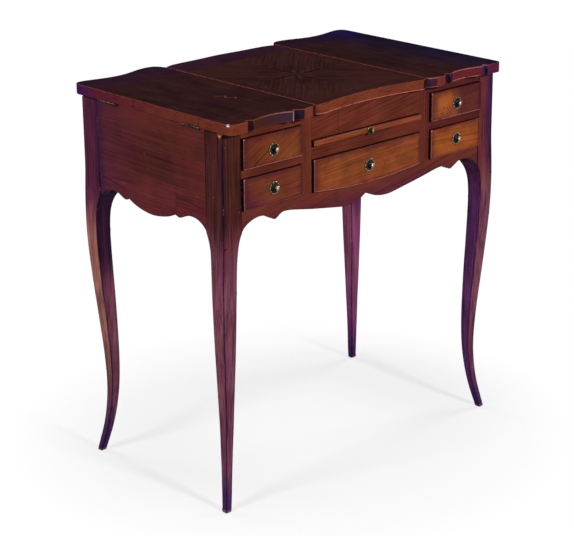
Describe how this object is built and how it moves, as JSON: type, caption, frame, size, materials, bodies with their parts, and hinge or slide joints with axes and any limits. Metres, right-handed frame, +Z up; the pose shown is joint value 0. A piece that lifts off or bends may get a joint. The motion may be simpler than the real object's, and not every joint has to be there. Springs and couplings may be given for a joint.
{
  "type": "poudreuse dressing table",
  "caption": "Dressing table on cabriole legs, with hinged side lids over wells, a rear-hinged mirror flap, a brushing slide and small drawers under a scalloped top.",
  "frame": {"origin": "on the floor, in the middle of the bounding box", "axes": "+Z up, -Y towards the user at the front, +X to the right as the user sees it"},
  "size_m": [0.7232, 0.4603, 0.75],
  "materials": {
    "carcass_wood": "waxed reddish-brown, satin",
    "top_wood": "waxed dark brown, satin, worn pale on the arrises",
    "front_wood": "waxed warm brown, satin",
    "interior_wood": "dry, unpolished",
    "brass": "old dark patina",
    "mirror": "silvered glass"
  },
  "bodies": {
    "carcass": {"leg_front_left": "carcass_wood", "leg_front_right": "carcass_wood", "leg_back_left": "carcass_wood", "leg_back_right": "carcass_wood", "side_panel_left": "carcass_wood", "side_panel_right": "carcass_wood", "side_brackets": "carcass_wood", "back_panel": "carcass_wood", "front_apron": "front_wood", "divider_stile_left": "front_wood", "divider_stile_right": "front_wood", "frieze_board": "front_wood", "centre_rail": "front_wood", "well_front_left": "front_wood", "well_front_right": "front_wood", "false_front_left": "front_wood", "false_front_right": "front_wood", "partition_left": "interior_wood", "partition_right": "interior_wood", "well_floor_left": "interior_wood", "well_floor_right": "interior_wood", "centre_floor": "interior_wood", "carcass_bottom": "interior_wood", "guides_and_bearers": "interior_wood", "false_front_knobs": "brass", "false_front_rosettes": "brass", "carcass_hinge_leaves": "brass", "carcass_hinge_screws": "brass", "hinge_pins": "brass"},
    "left_lid": {"lid_left": "top_wood", "lid_left_hinge_leaves": "brass", "lid_left_hinge_screws": "brass"},
    "right_lid": {"lid_right": "top_wood", "lid_right_hinge_leaves": "brass", "lid_right_hinge_screws": "brass"},
    "mirror_flap": {"centre_flap": "top_wood", "flap_hinge_leaves": "brass", "flap_hinge_screws": "brass", "mirror_glass": "mirror", "mirror_beading": "top_wood"},
    "slide": {"brushing_slide": "front_wood", "slide_knob": "brass"},
    "left_drawer": {"drawer_left_front": "front_wood", "drawer_left_sides": "interior_wood", "drawer_left_back": "interior_wood", "drawer_left_bottom": "interior_wood", "drawer_left_knob": "brass", "drawer_left_rosette": "brass"},
    "right_drawer": {"drawer_right_front": "front_wood", "drawer_right_sides": "interior_wood", "drawer_right_back": "interior_wood", "drawer_right_bottom": "interior_wood", "drawer_right_knob": "brass", "drawer_right_rosette": "brass"},
    "centre_drawer": {"drawer_centre_front": "front_wood", "drawer_centre_sides": "interior_wood", "drawer_centre_back": "interior_wood", "drawer_centre_bottom": "interior_wood", "drawer_centre_knob": "brass", "drawer_centre_rosette": "brass"}
  },
  "joints": [
    {"name": "left_lid_hinge", "type": "hinge", "parent": "carcass", "child": "left_lid", "pos_m": [-0.3583, -0.0039, 0.73035], "axis": [0, -1, 0], "range_deg": [0, 180]},
    {"name": "right_lid_hinge", "type": "hinge", "parent": "carcass", "child": "right_lid", "pos_m": [0.3583, -0.0039, 0.73035], "axis": [0, 1, 0], "range_deg": [0, 180]},
    {"name": "mirror_flap_hinge", "type": "hinge", "parent": "carcass", "child": "mirror_flap", "pos_m": [0, 0.2003, 0.73035], "axis": [-1, 0, 0], "range_deg": [0, 95]},
    {"name": "brushing_slide_pull", "type": "slide", "parent": "carcass", "child": "slide", "axis": [0, -1, 0], "range_m": [0, 0.22]},
    {"name": "left_drawer_pull", "type": "slide", "parent": "carcass", "child": "left_drawer", "axis": [0, -1, 0], "range_m": [0, 0.26]},
    {"name": "right_drawer_pull", "type": "slide", "parent": "carcass", "child": "right_drawer", "axis": [0, -1, 0], "range_m": [0, 0.26]},
    {"name": "centre_drawer_pull", "type": "slide", "parent": "carcass", "child": "centre_drawer", "axis": [0, -1, 0], "range_m": [0, 0.26]}
  ]
}
